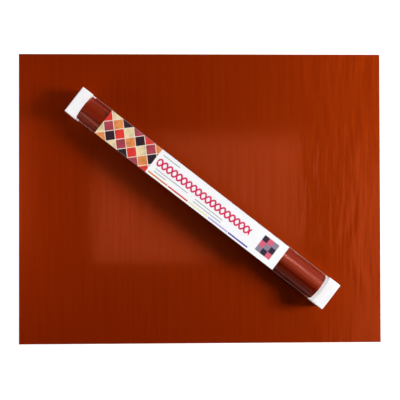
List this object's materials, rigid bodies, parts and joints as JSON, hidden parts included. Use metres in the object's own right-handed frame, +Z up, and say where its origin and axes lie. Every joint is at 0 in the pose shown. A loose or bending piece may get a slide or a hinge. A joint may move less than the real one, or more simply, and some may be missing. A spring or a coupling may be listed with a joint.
{
  "type": "reusable baking liner",
  "caption": "Flat reusable baking liner of coated glass cloth, with a rolled one lying across it in a clear square sleeve with a card and push-on end caps.",
  "frame": {"origin": "on the surface that the object lies on, below the middle of the flat liner", "axes": "+X along the flat liner's long side, +Y along its short side, +Z up. The rolled liner's pack lies across the middle, its axis turned 37.8 degrees from +X towards -Y"},
  "size_m": [0.4, 0.32, 0.0327],
  "materials": {
    "liner": "satin",
    "rolled_liner": "satin",
    "clear_sleeve": "gloss",
    "card": "satin",
    "cap": "satin"
  },
  "bodies": {
    "liner": {"flat_liner": "liner"},
    "sleeve": {"clear_sleeve": "clear_sleeve"},
    "roll": {"rolled_liner": "rolled_liner"},
    "card": {"label_card": "card"},
    "left_cap": {"left_end_cap": "cap"},
    "right_cap": {"right_end_cap": "cap"}
  },
  "joints": [
    {"name": "sleeve_lift", "type": "slide", "parent": "liner", "child": "sleeve", "axis": [0, 0, 1], "range_m": [0, 0.2]},
    {"name": "left_cap_pull", "type": "slide", "parent": "sleeve", "child": "left_cap", "axis": [-0.7902, 0.6129, 0], "range_m": [0, 0.08]},
    {"name": "roll_slide", "type": "slide", "parent": "sleeve", "child": "roll", "axis": [0.7902, -0.6129, 0], "range_m": [0, 0.34]},
    {"name": "right_cap_pull", "type": "slide", "parent": "sleeve", "child": "right_cap", "axis": [0.7902, -0.6129, 0], "range_m": [0, 0.408]},
    {"name": "card_slide", "type": "slide", "parent": "sleeve", "child": "card", "axis": [0.7902, -0.6129, 0], "range_m": [0, 0.34]}
  ],
  "couplings": [
    {"joint": "right_cap_pull", "follows": "roll_slide", "ratio": 1.2},
    {"joint": "card_slide", "follows": "roll_slide", "ratio": 1}
  ]
}
